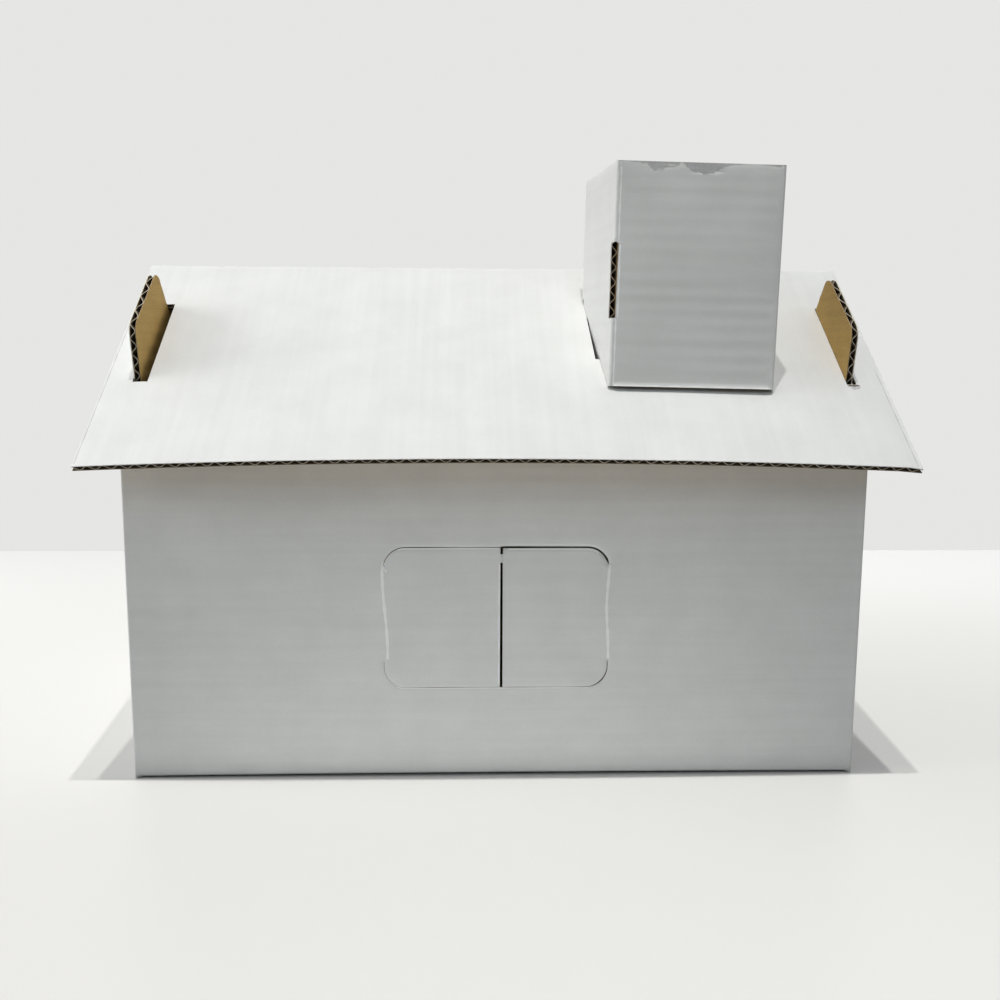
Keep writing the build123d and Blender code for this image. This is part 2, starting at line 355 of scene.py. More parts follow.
class Build:
    """Gathers the shells of one piece."""

    def __init__(self, place):
        self.place = place
        self.points = []
        self.faces = []
        self.finish = []
        self.count = 0

    def add_points(self, u, v, depth):
        first = self.count
        self.points.append(self.place(u, v, depth))
        self.count += len(u)
        return first

    def add_faces(self, faces, finish):
        self.faces.extend(faces)
        self.finish.extend([finish] * len(faces))

    def liner(self, outline, holes, grid_u, grid_v, stretch, top, bottom, finishes, extra=None, patches=()):
        """One closed sheet of paper, cut to an outline with holes, between two depths. Its finishes are
        those of its upper face, its lower face and its cut edge. A patch has another finish."""
        upper_finish, lower_finish, rim_finish = finishes
        grid_u, grid_v = np.sort(grid_u), np.sort(grid_v)
        loops = [on_grid(loop, grid_u, grid_v) for loop in [outline] + list(holes)]
        marks = [resampled(loop, PATCH_STEP) for loop, _ in patches]
        grid = np.stack(np.meshgrid(grid_u, grid_v), axis=-1).reshape(-1, 2)
        fixed = np.concatenate(loops + marks)
        if extra is not None:
            fixed = np.concatenate([fixed, spaced(extra, fixed, RING_GAP)])
        grid = spaced(grid[inside(grid, outline)], fixed, GRID_GAP)
        coords = np.concatenate([fixed, grid])
        edges = []
        first = 0
        for loop in loops + marks:
            count = len(loop)
            edges.extend((first + i, first + (i + 1) % count) for i in range(count))
            first += count
        scaled = [Vector((p[0] * stretch, p[1])) for p in coords]
        verts, _, faces, _, _, _ = delaunay_2d_cdt(scaled, edges, [], 0, SNAP)
        flat = np.array([(p[0] / stretch, p[1]) for p in verts])
        faces = np.array([f for f in faces if len(f) == 3])
        middle = flat[faces].mean(1)
        keep = inside(middle, outline)
        for hole in holes:
            keep &= ~inside(middle, hole)
        faces = faces[keep]
        middle = middle[keep]
        used = np.unique(faces)
        order = np.full(len(flat), -1)
        order[used] = np.arange(len(used))
        flat = flat[used]
        faces = order[faces]
        shown = np.full(len(faces), upper_finish)
        for loop, other in patches:
            shown[inside(middle, loop)] = other
        u, v = flat[:, 0], flat[:, 1]
        upper = self.add_points(u, v, top(u, v))
        lower = self.add_points(u, v, bottom(u, v))
        self.faces.extend((faces + upper).tolist())
        self.finish.extend(shown.tolist())
        self.add_faces((faces[:, ::-1] + lower).tolist(), lower_finish)
        sides = np.concatenate([faces[:, [0, 1]], faces[:, [1, 2]], faces[:, [2, 0]]])
        known = set(map(tuple, sides.tolist()))
        rims = [(a, b) for a, b in known if (b, a) not in known]
        rims.sort()
        self.add_faces([(upper + b, upper + a, lower + a, lower + b) for a, b in rims], rim_finish)

    def waves(self, loops, across, first, last, low, high, phase=0.0, breaks=(), press=(1, 1)):
        """The waved sheet, clipped to outlines. Its waves follow one another across, 0 for u or 1 for v,
        and its flutes run the other way, between two ends that may be pressed flatter."""
        step = FLUTE / WAVE_STEPS
        edges = np.concatenate([np.arange(first, last, step), [last], breaks])
        edges = np.unique(np.round(edges[(edges >= first) & (edges <= last)], 4))
        edges = edges[np.concatenate([[True], np.diff(edges) > 0.02])]

        def spans(w):
            hits = []
            for loop in loops:
                a, b = loop, np.roll(loop, -1, axis=0)
                crosses = (a[:, across] > w) != (b[:, across] > w)
                a, b = a[crosses], b[crosses]
                share = (w - a[:, across]) / (b[:, across] - a[:, across])
                hits.extend(a[:, 1 - across] + share * (b[:, 1 - across] - a[:, 1 - across]))
            hits.sort()
            pairs = [(max(a, low), min(b, high)) for a, b in zip(hits[::2], hits[1::2])]
            return [(a, b) for a, b in pairs if b - a > SHORTEST_FLUTE]

        rows = []
        previous = None
        for a, b in zip(edges[:-1], edges[1:]):
            left, right = spans(a + 1e-3), spans(b - 1e-3)
            if len(left) != len(right):
                left = right = spans((a + b) / 2)
            if previous is None or len(previous) != len(left) or any(
                max(abs(p[0] - q[0]), abs(p[1] - q[1])) > FLUTE_JUMP for p, q in zip(previous, left)
            ):
                rows.append([[(a, span)] for span in left])
            for strip, span in zip(rows[-1], right):
                strip.append((b, span))
            previous = right
        for strip in (strip for group in rows for strip in group):
            w = np.array([edge for edge, _ in strip])
            ends = np.array([span for _, span in strip])
            angle = 2 * math.pi * (w + phase) / FLUTE
            high_wave = BOARD / 2 - LINER - MEDIUM / 2
            depth = -BOARD / 2 + high_wave * np.cos(angle)
            slope = -high_wave * np.sin(angle) * 2 * math.pi / FLUTE
            size = np.hypot(1, slope)
            shift_w = -slope / size * MEDIUM / 2
            shift_d = MEDIUM / 2 / size
            corners = []
            for end in (0, 1):
                for side in (1, -1):
                    at = np.clip(w + side * shift_w, w[0], w[-1])
                    run = ends[:, end]
                    u, v = (at, run) if across == 0 else (run, at)
                    corners.append(self.add_points(u, v, (depth + side * shift_d) * press[end]))
            a0, b0, a1, b1 = corners
            end = len(w) - 1
            sides = []
            cut = [(a0, a1, b1, b0), (a0 + end, b0 + end, b1 + end, a1 + end)]
            for i in range(end):
                j = i + 1
                sides += [(a0 + i, a0 + j, a1 + j, a1 + i), (b0 + i, b1 + i, b1 + j, b0 + j)]
                cut += [(a0 + i, b0 + i, b0 + j, a0 + j), (a1 + i, a1 + j, b1 + j, b1 + i)]
            self.add_faces(sides, FLUTING)
            self.add_faces(cut, FLUTE_END)

    def piece(self, name, node, materials):
        mesh = bpy.data.meshes.new(name)
        points = np.concatenate(self.points) / 1000
        mesh.from_pydata(points.tolist(), [], self.faces, shade_flat=False)
        mesh.polygons.foreach_set("material_index", self.finish)
        for material in materials:
            mesh.materials.append(material)
        shell = bmesh.new()
        shell.from_mesh(mesh)
        bmesh.ops.recalc_face_normals(shell, faces=shell.faces)
        shell.to_mesh(mesh)
        shell.free()
        mesh.set_sharp_from_angle(angle=SHARP_EDGE)
        mesh.update()
        piece = bpy.data.objects.new(name, mesh)
        bpy.context.scene.collection.objects.link(piece)
        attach(piece, "root")
        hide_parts(node)


# Finishes, in the order of each piece's materials
# The near-white worn finish is whitened coating on the shutters' creases, and painted highlight along the
# cuts, the chimney's folds and the cut edges of the roof and chimney
WHITE, KRAFT, EDGE, TORN, FLUTING, FLUTE_END, EDGE_KRAFT, WORN_AND_HIGHLIGHT = range(8)


# Materials

CLOUD_SCALE = 55
FIBRE_SCALE = 1700
NOISE_ROUGH = 0.55
TOOTH_STRENGTH = 0.35
SPECULAR = 0.35
UNIT = (1, 1, 1)


class Graph:
    """The shader nodes of a material or a world."""

    def __init__(self, owner):
        owner.use_nodes = True
        self.nodes = owner.node_tree.nodes
        self.links = owner.node_tree.links

    def set(self, socket, value):
        """Gives a socket a number, a colour or another node's output."""
        if isinstance(value, bpy.types.NodeSocket):
            self.links.new(value, socket)
        else:
            socket.default_value = value

    def node(self, kind, inputs, **settings):
        """The outputs of a new node."""
        node = self.nodes.new("ShaderNode" + kind)
        for name, value in settings.items():
            setattr(node, name, value)
        for name, value in inputs.items():
            self.set(node.inputs[name], value)
        return node.outputs

    def place(self, kind):
        return self.node("TexCoord", {})[kind]

    def axes(self, kind):
        return self.node("SeparateXYZ", {"Vector": self.place(kind)})

    def ramp(self, factor, low, high, colours):
        """Blend of two colours, as a factor goes from low to high."""
        node = self.nodes.new("ShaderNodeValToRGB")
        for element, position, colour in zip(node.color_ramp.elements, (low, high), colours):
            element.position = position
            element.color = (*colour, 1)
        self.set(node.inputs["Fac"], factor)
        return node.outputs["Color"]

    def noise(self, place, stretch, scale, detail):
        vector = self.node("Mapping", {"Vector": place, "Scale": stretch})["Vector"]
        inputs = {"Vector": vector, "Scale": scale, "Detail": detail, "Roughness": NOISE_ROUGH}
        return self.node("TexNoise", inputs)["Fac"]

    def multiplied(self, factor, a, b):
        inputs = {"Factor": factor, "A": a, "B": b}
        return self.node("Mix", inputs, data_type="RGBA", blend_type="MULTIPLY")["Result"]

    def joined(self, operation, first, second):
        return self.node("Math", {0: first, 1: second}, operation=operation)["Value"]

    def step(self, value, start, stop, low=0.0, high=1.0):
        """Soft step of a value."""
        inputs = {"Value": value, "From Min": start, "From Max": stop, "To Min": low, "To Max": high}
        return self.node("MapRange", inputs, interpolation_type="SMOOTHSTEP")["Result"]

    def seen(self):
        """1 on rays that show the room, 0 on rays that light the object."""
        rays = self.node("LightPath", {})
        mirrored = self.joined("MAXIMUM", rays["Is Glossy Ray"], rays["Is Transmission Ray"])
        return self.joined("MAXIMUM", rays["Is Camera Ray"], mirrored)

    def split(self, lighting, showing, output):
        """One shader for the rays that light the object, and another for those that show the room."""
        choice = self.node("MixShader", {"Fac": self.seen(), 1: lighting, 2: showing})
        self.set(self.nodes[output].inputs["Surface"], choice["Shader"])


def paper(name, tones, fibres, streaks, rough, fleck, tooth, streak=0.5):
    """Paper with cloudy formation, streaks along the flutes, fibres and a fine tooth."""
    material = bpy.data.materials.new(name)
    graph = Graph(material)
    inputs = graph.nodes["Principled BSDF"].inputs
    place = graph.place("Object")
    cloud = graph.noise(place, UNIT, CLOUD_SCALE, 4)
    fine = graph.noise(place, UNIT, FIBRE_SCALE, 2)
    colour = graph.ramp(cloud, 0.3, 0.7, tones)
    streak_colour = graph.ramp(graph.noise(place, streaks, 1, 2), 0.34, 0.66, ((0.93, 0.93, 0.925), UNIT))
    fibre_colour = graph.ramp(fine, 0.32, 0.6, (fibres, UNIT))
    colour = graph.multiplied(streak, colour, streak_colour)
    graph.set(inputs["Base Color"], graph.multiplied(fleck, colour, fibre_colour))
    gloss = graph.node("MapRange", {"Value": cloud, "To Min": rough[0], "To Max": rough[1]})
    graph.set(inputs["Roughness"], gloss["Result"])
    relief = graph.node("Bump", {"Strength": TOOTH_STRENGTH, "Distance": tooth, "Height": fine})
    graph.set(inputs["Normal"], relief["Normal"])
    inputs["Specular IOR Level"].default_value = SPECULAR
    return material


# How far streaks are squeezed along each axis: lying level, running down the slopes, or even
LEVEL = (9, 9, 260)
KRAFT_LEVEL = (14, 14, 420)
DOWN = (260, 9, 9)
EVEN = (140, 140, 140)
SATIN, DULL, MATT, RAW = (0.42, 0.56), (0.6, 0.75), (0.75, 0.9), (0.8, 0.92)
WHITE_TONES = ((0.715, 0.72, 0.71), (0.76, 0.765, 0.755))
WHITE_FIBRES = (0.95, 0.95, 0.94)
KRAFT_TONES = ((0.53, 0.345, 0.105), (0.63, 0.41, 0.13))
# Tones, fibres, streaks, roughness, strength of the flecks and depth of the tooth, in the finishes' order
PAPERS = {
    "coated_white_level": (WHITE_TONES, WHITE_FIBRES, LEVEL, SATIN, 0.5, 3e-5),
    "kraft": (KRAFT_TONES, (0.62, 0.56, 0.47), KRAFT_LEVEL, (0.7, 0.85), 0.7, 6e-5, 1.0),
    "cut_paper": (((0.60, 0.54, 0.44), (0.74, 0.69, 0.59)), (0.8, 0.75, 0.66), LEVEL, MATT, 0.6, 6e-5),
    "torn_paper": (((0.52, 0.52, 0.52), (0.60, 0.60, 0.60)), (0.8, 0.8, 0.79), LEVEL, MATT, 0.8, 8e-5),
    "fluting": (((0.10, 0.078, 0.05), (0.16, 0.125, 0.085)), (0.7, 0.68, 0.62), EVEN, RAW, 0.6, 6e-5),
    "flute_end": (((0.52, 0.45, 0.34), (0.70, 0.62, 0.49)), (0.6, 0.56, 0.5), EVEN, RAW, 0.8, 8e-5),
    "cut_kraft": (((0.36, 0.26, 0.14), (0.48, 0.36, 0.21)), (0.6, 0.55, 0.46), EVEN, RAW, 0.8, 8e-5),
    # near-white: whitened coating on the creases, and painted highlight along cuts, folds and cut edges
    "worn_and_highlight_white": (((0.93, 0.935, 0.93), (0.955, 0.96, 0.955)), WHITE_FIBRES, LEVEL, DULL, 0.4, 3e-5),
}
LEVEL_FINISHES = [paper(name, *look) for name, look in PAPERS.items()]
white_down = paper("coated_white_down", WHITE_TONES, WHITE_FIBRES, DOWN, SATIN, 0.5, 3e-5)
DOWN_FINISHES = [white_down] + LEVEL_FINISHES[1:]

# Finishes of a liner: its upper face, its lower face and its cut edge
OUTER = (WHITE, FLUTING, EDGE)
INNER = (FLUTING, KRAFT, EDGE_KRAFT)
# Outer liner of the roof and chimney: its cut edge gets the near-white finish, a painted highlight along the
# rims
OUTER_HIGHLIGHT_RIM = (WHITE, FLUTING, WORN_AND_HIGHLIGHT)
# The roof's inner liner also has the dark fluting colour on its cut edge: painted shade along the eave's
# lower edge
ROOF_INNER = (FLUTING, KRAFT, FLUTING)


# Walls

WALL_CORNERS = [(-WALL_X, WALL_Y), (-WALL_X, -WALL_Y), (WALL_X, -WALL_Y), (WALL_X, WALL_Y)]
wall_fold = Fold(WALL_CORNERS + [(-WALL_X + BOARD + SEAT, WALL_Y)], WALL_RADIUS, WALL_SOFTEN)
floor_end = WALL_Y - BOARD - FLOOR_GAP
floor_fold = Fold([(-WALL_Y, WALL_Z), (-WALL_Y, FLOOR_RAISE), (floor_end, SEAT)], FLOOR_RADIUS, WALL_SOFTEN)
LEFT_U, FRONT_U, RIGHT_U, BACK_U, END_U = wall_fold.start
FRONT_MIDDLE = FRONT_U + WALL_X


def crease_left(z):
    """The left shutter's crease, which leans in below its upper part."""
    return WINDOW_X - WINDOW_HALF_X - 0.4 + 1.9 * smooth((86 - z) / 32)


def crease_right(z):
    """The right shutter's crease, drawn in at its middle."""
    return WINDOW_X + WINDOW_HALF_X + 0.5 - 1.5 * bump(z - 72, 11) + 0.25 * np.sin(z / 5)


def push(u, v):
    """How far the right shutter is pressed in, turning on its crease."""
    x = u - FRONT_MIDDLE
    hinge = WINDOW_X + WINDOW_HALF_X
    low, high = WINDOW_Z - WINDOW_HALF_Z, WINDOW_Z + WINDOW_HALF_Z
    within = (x > SLIT_X) & (x < hinge) & (v > low) & (v < high)
    past_x, past_z = x - (hinge - WINDOW_RADIUS), v - (high - WINDOW_RADIUS)
    within &= np.hypot(np.maximum(past_x, 0), np.maximum(past_z, 0)) < WINDOW_RADIUS + 0.05
    turn = smooth((hinge - x) / 14) * (0.55 + 0.45 * (hinge - x) / (hinge - SLIT_X))
    return np.where(within, -SHUTTER_PUSH * turn * smooth((v - low) / 60) ** 0.7, 0)


def place_walls(u, v, depth):
    """Points on the walls, at u round them from the rear left corner and v up them, or back on the floor."""
    depth = depth + push(u, v)
    plan = wall_fold.place(u, depth)
    found = np.column_stack([plan, v])
    low = (v < FOOT) & (u > FRONT_U + WALL_RADIUS) & (u < RIGHT_U - WALL_RADIUS)
    side = floor_fold.place(WALL_Z - v[low], depth[low])
    near_fold = np.where(v[low] > 0, 1 - v[low] / FOOT, 1 + v[low] / (WALL_Y + floor_end))
    side[:, 1] -= FLOOR_SAG * ((u[low] - FRONT_MIDDLE) / WALL_X) ** 2 * near_fold
    inset = np.minimum(u[low] - FRONT_U, RIGHT_U - u[low]) - WALL_RADIUS
    share = np.clip(inset / (BOARD + FLOOR_GAP - WALL_RADIUS), 0, 1)[:, None]
    found[low, 1:] = found[low, 1:] * (1 - share) + side * share
    return found


def gable_profile():
    """Sloping edge of a gable with its two tabs, from the front to the back, as (y, z)."""
    root = -(BOARD + SEAT * COS)
    corners = [
        (TAB[0] + root * TAB_DRAFT[0], root),
        (TAB[0] + TAB_HEIGHT * TAB_DRAFT[0], TAB_HEIGHT),
        (TAB[1] - TAB_HEIGHT * TAB_DRAFT[1], TAB_HEIGHT),
        (TAB[1] - root * TAB_DRAFT[1], root),
    ]
    tab = rounded(corners, (0, TAB_RADIUS, TAB_RADIUS, 0), 9)
    y = -EAVE_Y + tab[:, 0] * COS - tab[:, 1] * SIN
    z = EAVE_Z + tab[:, 0] * SIN + tab[:, 1] * COS
    front = line(y, z)
    back = front[::-1] * (-1, 1)
    return np.concatenate([[(-WALL_Y, WALL_Z)], front, [(0, GABLE_TOP)], back, [(WALL_Y, WALL_Z)]])


def wall_outline():
    """Flat outline of the walls in a row, with the floor under the front one."""
    gable = gable_profile()
    left = line(WALL_Y - gable[:, 0], gable[:, 1])
    right = line(RIGHT_U + WALL_Y + gable[:, 0], gable[:, 1])[::-1]
    floor_left, floor_right = FRONT_U + BOARD + FLOOR_GAP, RIGHT_U - BOARD - FLOOR_GAP
    floor_v = -WALL_Y - floor_end
    floor = [(floor_left, 0), (floor_left, floor_v), (floor_right, floor_v), (floor_right, 0)]
    return np.concatenate([[(LEFT_U, 0)], floor, [(END_U, 0), (END_U, WALL_Z)], right, left])


def offset_path(points, distance):
    """Points moved to the left of a path, by a distance that may change along it."""
    ahead = np.gradient(points, axis=0)
    ahead /= np.linalg.norm(ahead, axis=1)[:, None]
    return points + line(-ahead[:, 1], ahead[:, 0]) * np.reshape(distance, (-1, 1))


def cut_path(sign):
    """Middle of the cut above (1) or below (-1) the shutters, from the left crease to the right one."""
    inner_x = WINDOW_HALF_X - WINDOW_RADIUS
    inner_z = WINDOW_HALF_Z - WINDOW_RADIUS
    first = math.asin((HINGE[1] - WINDOW_Z - inner_z) / WINDOW_RADIUS) if sign > 0 else 0
    arc = np.linspace(first, math.pi / 2, 12)
    right = line(inner_x + WINDOW_RADIUS * np.cos(arc), inner_z + WINDOW_RADIUS * np.sin(arc))
    if sign < 0:
        straight = np.linspace(WINDOW_Z - HINGE[0], inner_z, 5)[:-1]
        right = np.concatenate([line(WINDOW_HALF_X, straight), right])
    left = right * (-1, 1)
    top = line(np.linspace(-inner_x, inner_x, 40)[1:-1], WINDOW_HALF_Z)
    path = np.concatenate([left, top, right[::-1]])
    if sign > 0:
        end = HINGE[1] - WINDOW_Z
        hook = np.array([(-WINDOW_HALF_X + 1.3, end - 2.2), (-WINDOW_HALF_X + 0.7, end - 0.8)])
        path = np.concatenate([hook, path])
    return path * (1, sign) + (WINDOW_X, WINDOW_Z)


def shutter_cuts():
    """The two cuts that free the shutters: the upper one ends at the uncut bridge in the slit between
    them, and the lower one starts under it."""
    holes = []
    for sign in (1, -1):
        path = cut_path(sign)
        x = path[:, 0]
        if sign > 0:
            half = np.where(x < SLIT_X, 0.15 + 0.04 * np.sin(x / 7), 0.36 + 0.1 * smooth((40 - x) / 40))
            half = half + 0.15 * bump(x - 45.2, 1.2)
        else:
            half = 0.08 + 0.03 * np.sin(x / 5) + 0.16 * bump(x - 43, 3)
        count = np.arange(len(x))
        half = half * np.clip(np.minimum(count, count[::-1]) / 2 + 0.15, 0, 1)
        outer, inner = offset_path(path, sign * half), offset_path(path, -sign * half)
        slit_end = NICK[1] if sign > 0 else NICK[0]
        left = inner[x < SLIT_X - SLIT_HALF - 0.4]
        right = inner[x > SLIT_X + SLIT_HALF + 0.4]
        stub = [
            (SLIT_X + SLIT_HALF, right[0, 1]),
            (SLIT_X + SLIT_HALF - SLIT_WANDER, slit_end),
            (SLIT_X - SLIT_HALF, slit_end),
            (SLIT_X - SLIT_HALF, left[-1, 1]),
        ]
        loop = np.concatenate([outer, right[::-1], stub, left[::-1]])
        holes.append(loop + (FRONT_MIDDLE, 0))
    return holes


wall_holes = shutter_cuts()
wall_drift = Drift(90, 70)
flute_drift = Drift(160, 60)
streak_drift = Drift(150, 28)


def wall_skin(u, v):
    """Relief of the coated face: faint flutes, pressed cuts, and the shutters' creases."""
    relief = dips(WALL_DIPS, v + 0.5 * flute_drift(u, v)) * (0.8 + 1.2 * streak_drift(u, v))
    depth = relief * np.clip(v / 6, 0, 1) - WALL_WAVINESS * (1 + wall_drift(u, v)) * smooth(v / 20)
    x = u - FRONT_MIDDLE
    span = smooth((v - HINGE[0] + 2) / 4) * smooth((HINGE[1] + 2 - v) / 4)
    crease = bump(x - crease_left(v), CREASE_HALF) + bump(x - crease_right(v), CREASE_HALF)
    slit = bump(x - (SLIT_X - SLIT_HALF - 0.3), 0.35) * (np.abs(v - WINDOW_Z) < WINDOW_HALF_Z - 0.4)
    depth = depth + CREASE_RISE * crease * span + SLIT_RISE * slit
    lip = np.zeros_like(u)
    near = (np.abs(x - WINDOW_X) < 52) & (np.abs(v - WINDOW_Z) < 36)
    if near.any():
        edges = np.concatenate([resampled(hole, 0.5) for hole in wall_holes])
        lip[near] = bump(nearest(line(u[near], v[near]), edges), 0.7)
    beside_slit = (np.abs(x - SLIT_X) < 2.2) & (np.abs(v - WINDOW_Z) < WINDOW_HALF_Z - 2.2)
    lip[beside_slit] = 0
    open_cut = (x > SLIT_X + SLIT_HALF) & (v > WINDOW_Z + 15)
    return depth - np.where(open_cut, 0.5, 0.2) * lip


def highlight_strip(sign, first, last, near, far):
    """Strip of painted highlight under a part of the cut above (1) or below (-1) the shutters, between two
    distances from it.
    """
    path = cut_path(sign)
    path = path[(path[:, 0] > first) & (path[:, 0] < last)]
    return between(offset_path(path, -near), offset_path(path, -far)) + (FRONT_MIDDLE, 0)


def crease_wear_and_highlights():
    """Strips of whitened coating on the shutters' creases, and painted highlights beside the slit, along the
    cuts and on a curled tear.
    """
    loops = []
    z = np.linspace(HINGE[0] + 0.4, HINGE[1] - 0.4, 40)
    half = CREASE_HALF * (0.95 + 0.3 * np.sin(z * 0.9) * np.sin(z * 0.37))
    for crease in (crease_left, crease_right):
        loops.append(upright(crease(z) + FRONT_MIDDLE, half, z))
    # Painted highlight along the slit's left edge
    z = np.linspace(WINDOW_Z - WINDOW_HALF_Z + 1.2, NICK[0] - 0.8, 40)
    edge = FRONT_MIDDLE + SLIT_X - SLIT_HALF - 0.06
    width = 0.55 + 0.12 * np.sin(z * 0.6)
    loops.append(between(line(edge, z), line(edge - width, z)))
    # Painted highlights: light lines beside the cuts, where their lips turn to the light
    loops.append(highlight_strip(1, SLIT_X + SLIT_HALF + 0.5, 42, 0.55, 1.15))
    loops.append(highlight_strip(1, -41, SLIT_X - SLIT_HALF - 0.6, 0.28, 0.75))
    loops.append(highlight_strip(-1, -42, 38, 0.2, 0.55))
    # Painted highlight on the curled tear at the left end of the upper cut
    tear_right = [(-46.9, 91.4), (-45.9, 91.0), (-45.6, 89.0), (-44.8, 87.4)]
    tear_left = [(-45.6, 86.4), (-46.6, 88.2), (-47.3, 90.0)]
    loops.append(np.array(tear_right + tear_left) + (FRONT_MIDDLE, 0))
    return loops


def cut_rings():
    """Points close round the shutters' cuts, for the lips there."""
    rings = []
    for hole in wall_holes:
        edge = resampled(hole, 0.9)
        for reach in (0.45, 1.0, 1.7):
            for turn in np.linspace(0, 2 * math.pi, 9)[:-1]:
                rings.append(edge + reach * np.array([math.cos(turn), math.sin(turn)]))
    rings = thinned(np.concatenate(rings), 0.5)
    for hole in wall_holes:
        rings = rings[~inside(rings, hole)]
    return rings


def walls():
    build = Build(place_walls)
    outline = wall_outline()
    near_crease = np.array([-2.4, -1.5, -1.0, -0.6, -0.3, 0, 0.3, 0.6, 1.0, 1.5, 2.4])
    creases = [FRONT_MIDDLE + x + near_crease for x in CREASE_LINES]
    grid_u = np.unique(np.round(np.concatenate([wall_fold.lines(8)] + creases), 2))
    floor_v = np.linspace(-WALL_Y - floor_end, -9, 15)
    beside_fold = np.array([0.25, 0.5, 0.75, 1.1, 1.6, 2.3, 3.2, 4.5, 6])
    fold_v = np.concatenate([[-7.2], -beside_fold[::-1], [0], beside_fold]) + FLOOR_RAISE
    tab_top = GABLE_TOP + 25
    grid_v = np.concatenate([floor_v, fold_v, np.arange(7.2, tab_top, 1.2)])
    faces = (wall_skin, lambda u, v: wall_skin(u, v) - LINER)
    patches = [(loop, WORN_AND_HIGHLIGHT) for loop in crease_wear_and_highlights()]
    build.liner(outline, wall_holes, grid_u, grid_v, 0.25, *faces, OUTER, cut_rings(), patches)
    coarse_u = wall_fold.lines(14)
    gable_v = np.arange(WALL_Z + 1, tab_top, 1.5)
    coarse_v = np.concatenate([floor_v, fold_v, np.arange(9, WALL_Z, 10), gable_v])
    faces = (inner_face, lambda u, v: -BOARD - dips(TAB_DIPS, v) * smooth((v - WALL_Z) / 5))
    build.liner(outline, wall_holes, coarse_u, coarse_v, 0.8, *faces, INNER)
    clear = WALL_RADIUS + 1
    seam = 9
    gable = (WALL_Z + 1, GABLE_TOP + 22)
    build.waves([outline], 1, *gable, LEFT_U, FRONT_U - clear)
    build.waves([outline], 1, *gable, RIGHT_U + clear, BACK_U - clear, 2.0)
    build.waves([outline], 1, 0.4, WALL_Z + 1, LEFT_U, seam)
    build.piece("walls_board", "house_walls", LEVEL_FINISHES)


# Roof

roof_fold = Fold([(EAVE_Y, EAVE_Z), (0, RIDGE_Z), (-EAVE_Y, EAVE_Z)], RIDGE_RADIUS, RIDGE_SOFTEN)


def lift(along, down):
    """Height of the bowed slopes above their flat planes."""
    share = np.clip((down - RIDGE_LAND) / (SLOPE - RIDGE_LAND), 0, None)
    return share * (np.sqrt(BOW_RADIUS**2 - along**2) - BOW_RADIUS + EAVE_BOW)


def roof_top(x, y):
    """Height of the roof's upper face over a point in front of the ridge."""
    return RIDGE_Z + y * TAN + lift(x - ROOF_SHIFT, -y / COS) / COS


def place_roof(u, v, depth):
    """Points on the bowed roof, at u along the ridge and v over it from the front eave to the back one."""
    side = roof_fold.place(SLOPE - v, depth)
    down_slope = np.clip((-v - RIDGE_LAND) / (SLOPE - RIDGE_LAND), 0, 1)
    rise = lift(u, np.abs(v)) - EDGE_DROP * smooth((u - ROOF_HALF + 7) / 7) * down_slope
    return np.column_stack([u + ROOF_SHIFT, side[:, 0] + rise * SIN * np.sign(v), side[:, 1] + rise * COS])


chimney_base = np.array([CHIMNEY_X, CHIMNEY_Y, roof_top(CHIMNEY_X, CHIMNEY_Y)])
chimney_right = np.array([math.cos(CHIMNEY_LEAN), 0, -math.sin(CHIMNEY_LEAN)])
chimney_back = np.array([0.0, 1.0, 0.0])
chimney_up = np.array([math.sin(CHIMNEY_LEAN), 0, math.cos(CHIMNEY_LEAN)])


def chimney_point(x, y, height):
    """Places given in the chimney's own frame."""
    outer = np.multiply.outer
    return chimney_base + outer(x, chimney_right) + outer(y, chimney_back) + outer(height, chimney_up)


def chimney_seat(x, y, above):
    """Height of the roof in the chimney's own frame, at a place in its plan."""
    height = 0.0
    for _ in range(8):
        point = chimney_point(x, y, height)
        height += (roof_top(point[0], point[1]) + above - point[2]) / chimney_up[2]
    return height


def roof_slots():
    """Slots for the four gable tabs and the two chimney tabs."""
    low = SLOPE - (TAB[0] - BOARD * TAB_DRAFT[0] - 1)
    high = SLOPE - (TAB[1] + BOARD * TAB_DRAFT[1] + 1)
    slots = []
    for side in (-1, 1):
        for face in (-1, 1):
            u = sorted((side * SLOT_INNER[side], side * SLOT_OUTER[side]))
            v = sorted((face * low, face * high))
            slots.append(np.array([(u[0], v[0]), (u[1], v[0]), (u[1], v[1]), (u[0], v[1])]))
    board = BOARD * math.hypot(1, CHIMNEY_SKEW)
    for left, far in ((-CHIMNEY_HALF, CHIMNEY_SLOT_END), (CHIMNEY_HALF - board, CHIMNEY_TAB[1] + 0.6)):
        corners = []
        for x, y in (
            (left - 1.5, CHIMNEY_TAB[0] - 0.6),
            (left + board + 0.2, CHIMNEY_TAB[0] - 0.6),
            (left + board + 0.2, far),
            (left - 0.05, far),
        ):
            x -= y * CHIMNEY_SKEW
            point = chimney_point(x, y, chimney_seat(x, y, 0))
            corners.append((point[0] - ROOF_SHIFT, point[1] / COS))
        slots.append(np.array(corners))
    return slots


roof_holes = roof_slots()
roof_drift = Drift(120, 90)
roof_flutes = Drift(140, 200)


def roof_skin(u, v):
    """Relief of the coated face, which is smooth over the ridge."""
    relief = dips(ROOF_DIPS, u + 0.4 * roof_flutes(u, v)) - ROOF_WAVINESS * (1 + roof_drift(u, v))
    return relief * smooth((np.abs(v) - 3) / 10)


def crush(v):
    """How far the inner liner is pressed up along the eaves."""
    return EAVE_CRUSH * bump(SLOPE - np.abs(v), 2.0)


